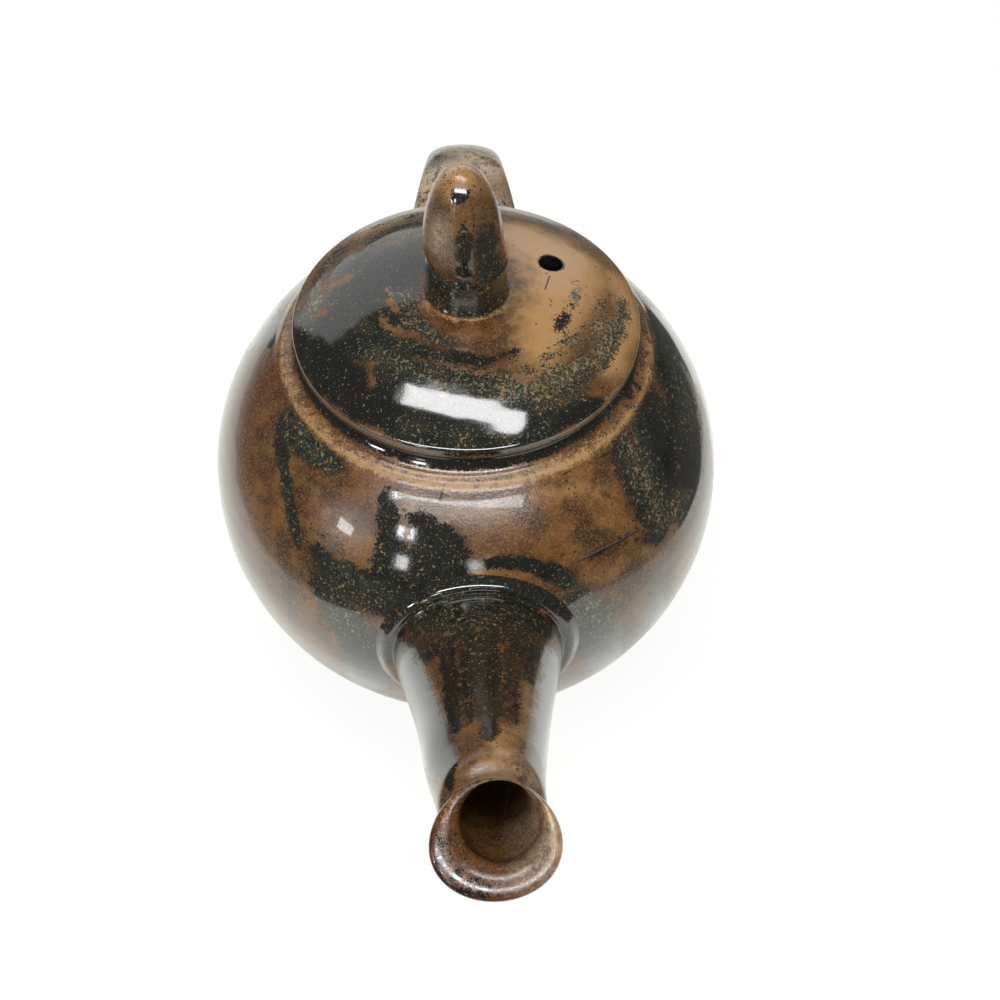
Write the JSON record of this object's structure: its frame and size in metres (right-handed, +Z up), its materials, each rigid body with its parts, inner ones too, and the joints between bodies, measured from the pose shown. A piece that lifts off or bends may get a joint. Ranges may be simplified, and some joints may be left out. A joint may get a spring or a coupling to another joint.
{
  "type": "teapot",
  "caption": "Round glazed stoneware teapot with a lift-off domed lid and upright knob, a curved spout with a flared lip and a strap handle opposite it.",
  "frame": {"origin": "on the pot's upright axis, at the flat underside of the foot, on the table", "axes": "+Z up along the pot's axis, -Y out along the spout, +Y toward the handle, +X to the right when looking along +Y"},
  "size_m": [0.12, 0.2206, 0.1448],
  "materials": {
    "brown_glaze": "glossy brown stoneware glaze with black and speckled patches",
    "tan_glaze": "glossy tan stoneware glaze with dark specks",
    "black_glaze": "glossy black stoneware glaze with brown specks",
    "bare_clay": "unglazed fired clay, dull"
  },
  "bodies": {
    "pot": {"pot_body": "brown_glaze", "foot": "bare_clay", "mouth_ring": "tan_glaze", "spout": "black_glaze", "spout_collar": "black_glaze", "strainer": "bare_clay", "handle": "tan_glaze"},
    "lid": {"lid_cover": "brown_glaze", "lid_flange": "bare_clay", "knob": "brown_glaze"}
  },
  "joints": [
    {"name": "lid_lift", "type": "slide", "parent": "pot", "child": "lid", "axis": [0, 0, 1], "range_m": [0, 0.06]}
  ]
}
